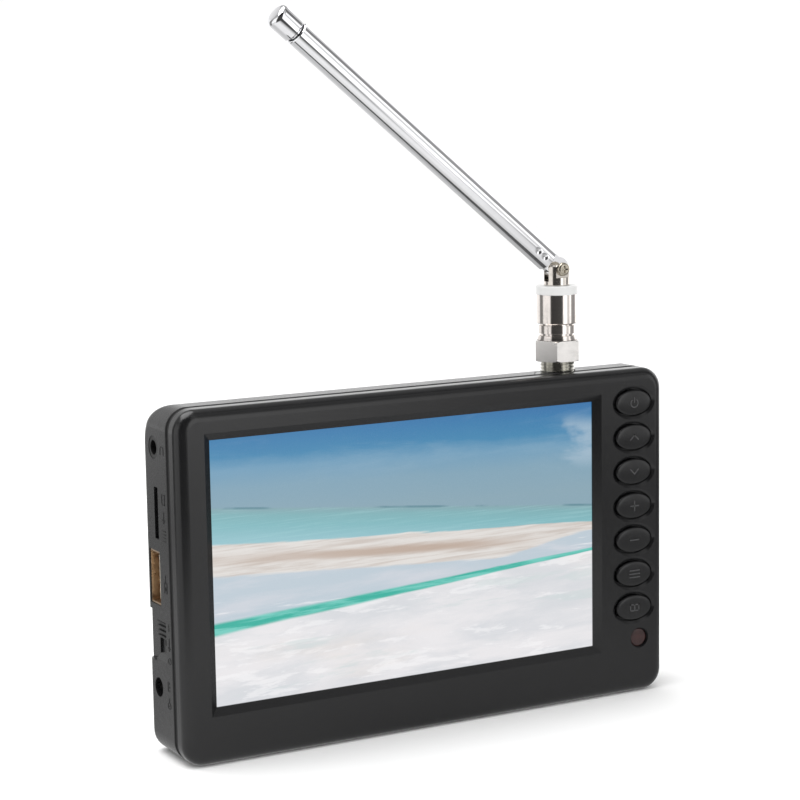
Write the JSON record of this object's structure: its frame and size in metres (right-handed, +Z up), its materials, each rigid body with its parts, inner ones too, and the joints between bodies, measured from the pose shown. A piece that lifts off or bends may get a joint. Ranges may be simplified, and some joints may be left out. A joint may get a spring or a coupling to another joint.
{
  "type": "portable television",
  "caption": "Pocket television: flat wide screen in a dark plastic body, oval buttons, side sockets, folding stand and a tilting telescopic aerial.",
  "frame": {"origin": "middle of the body's footprint, on the surface the set stands on", "axes": "+Z up, +X to the viewer's right, +Y from the screen to the back; the screen faces -Y"},
  "size_m": [0.1384, 0.022, 0.1803],
  "materials": {
    "bezel_plastic": "fine satin texture, black-grey",
    "shell_plastic": "fine satin texture, black-grey",
    "screen_glass": "polarizer film over glass, picture lit from behind",
    "guide_plastic": "clear acrylic sheet",
    "tray_steel": "thin pressed sheet",
    "flex_film": "amber polyimide",
    "board_laminate": "green solder mask over glass epoxy",
    "chip_resin": "black moulding resin",
    "can_steel": "tinned",
    "tact_plastic": "moulded",
    "plunger_plastic": "moulded",
    "ir_plastic": "dark red filter, polished",
    "receiver_resin": "dark epoxy",
    "usb_plated": "plated and slightly bronze in tone",
    "tongue_plastic": "off-white nylon",
    "contact_gold": "gold flash",
    "socket_steel": "pressed",
    "jack_plastic": "black nylon",
    "pin_metal": "plated",
    "button_plastic": "satin, slightly domed",
    "knob_plastic": "ribbed",
    "switch_steel": "pressed frame",
    "battery_wrap": "silvery pouch film",
    "speaker_steel": "zinc plated",
    "cone_paper": "pressed fibre",
    "thread_nickel": "nickel plated, bright",
    "core_plastic": "white fluoropolymer",
    "nut_nickel": "nickel plated, bright",
    "barrel_nickel": "nickel plated, turned",
    "ring_plastic": "white acetal",
    "post_nickel": "nickel plated",
    "screw_steel": "nickel plated",
    "rod_chrome": "polished chrome",
    "stand_plastic": "fine satin texture",
    "screw_black": "black zinc"
  },
  "bodies": {
    "body": {"aerial_barrel": "barrel_nickel", "aerial_pin": "contact_gold", "aerial_socket": "thread_nickel", "battery_pack": "battery_wrap", "board_chips": "chip_resin", "board_screws": "screw_steel", "card_socket": "socket_steel", "coupling_nut": "nut_nickel", "dc_jack": "jack_plastic", "dc_pin": "pin_metal", "front_bezel": "bezel_plastic", "insulator_ring": "ring_plastic", "ir_receiver": "receiver_resin", "ir_window": "ir_plastic", "lcd_flex": "flex_film", "lcd_glass": "screen_glass", "lcd_tray": "tray_steel", "light_guide": "guide_plastic", "main_board": "board_laminate", "phone_jack": "jack_plastic", "rear_shell": "shell_plastic", "shell_screws": "screw_black", "socket_core": "core_plastic", "speaker_cone": "cone_paper", "speaker_frame": "speaker_steel", "stand_pin": "screw_steel", "switch_body": "switch_steel", "tact_switches": "tact_plastic", "tuner_can": "can_steel", "usb_contacts": "contact_gold", "usb_shell": "usb_plated", "usb_tongue": "tongue_plastic"},
    "button_1": {"button_1": "button_plastic", "plunger_1": "plunger_plastic"},
    "button_2": {"button_2": "button_plastic", "plunger_2": "plunger_plastic"},
    "button_3": {"button_3": "button_plastic", "plunger_3": "plunger_plastic"},
    "button_4": {"button_4": "button_plastic", "plunger_4": "plunger_plastic"},
    "button_5": {"button_5": "button_plastic", "plunger_5": "plunger_plastic"},
    "button_6": {"button_6": "button_plastic", "plunger_6": "plunger_plastic"},
    "button_7": {"button_7": "button_plastic", "plunger_7": "plunger_plastic"},
    "power_switch": {"switch_knob": "knob_plastic"},
    "stand": {"stand_leg": "stand_plastic"},
    "aerial_post": {"swivel_post": "post_nickel", "hinge_screw": "screw_steel"},
    "rod_1": {"rod_lug": "rod_chrome", "rod_section_1": "rod_chrome"},
    "rod_2": {"rod_section_2": "rod_chrome"},
    "rod_3": {"rod_section_3": "rod_chrome"},
    "rod_4": {"rod_section_4": "rod_chrome"},
    "rod_5": {"rod_section_5": "rod_chrome", "tip_cap": "rod_chrome"}
  },
  "joints": [
    {"name": "button_1_press", "type": "slide", "parent": "body", "child": "button_1", "axis": [0, 1, 0], "range_m": [0, 0.0003], "stiffness_N_per_m": 400},
    {"name": "button_2_press", "type": "slide", "parent": "body", "child": "button_2", "axis": [0, 1, 0], "range_m": [0, 0.0003], "stiffness_N_per_m": 400},
    {"name": "button_3_press", "type": "slide", "parent": "body", "child": "button_3", "axis": [0, 1, 0], "range_m": [0, 0.0003], "stiffness_N_per_m": 400},
    {"name": "button_4_press", "type": "slide", "parent": "body", "child": "button_4", "axis": [0, 1, 0], "range_m": [0, 0.0003], "stiffness_N_per_m": 400},
    {"name": "button_5_press", "type": "slide", "parent": "body", "child": "button_5", "axis": [0, 1, 0], "range_m": [0, 0.0003], "stiffness_N_per_m": 400},
    {"name": "button_6_press", "type": "slide", "parent": "body", "child": "button_6", "axis": [0, 1, 0], "range_m": [0, 0.0003], "stiffness_N_per_m": 400},
    {"name": "button_7_press", "type": "slide", "parent": "body", "child": "button_7", "axis": [0, 1, 0], "range_m": [0, 0.0003], "stiffness_N_per_m": 400},
    {"name": "power_switch_slide", "type": "slide", "parent": "body", "child": "power_switch", "axis": [0, 0, -1], "range_m": [0, 0.0026]},
    {"name": "stand_fold", "type": "hinge", "parent": "body", "child": "stand", "pos_m": [0, 0.00925, 0.0418], "axis": [1, 0, 0], "range_deg": [0, 50]},
    {"name": "aerial_swivel", "type": "hinge", "parent": "body", "child": "aerial_post", "pos_m": [0.043, 0, 0.1087], "axis": [0, 0, 1], "continuous": true},
    {"name": "aerial_tilt", "type": "hinge", "parent": "aerial_post", "child": "rod_1", "pos_m": [0.043, 0, 0.1129], "axis": [0, 1, 0], "range_deg": [-39.5, 140.5]},
    {"name": "rod_2_slide", "type": "slide", "parent": "rod_1", "child": "rod_2", "axis": [-0.7716, 0, 0.6361], "range_m": [0, 0.076]},
    {"name": "rod_3_slide", "type": "slide", "parent": "rod_2", "child": "rod_3", "axis": [-0.7716, 0, 0.6361], "range_m": [0, 0.075]},
    {"name": "rod_4_slide", "type": "slide", "parent": "rod_3", "child": "rod_4", "axis": [-0.7716, 0, 0.6361], "range_m": [0, 0.074]},
    {"name": "rod_5_slide", "type": "slide", "parent": "rod_4", "child": "rod_5", "axis": [-0.7716, 0, 0.6361], "range_m": [0, 0.073]}
  ]
}
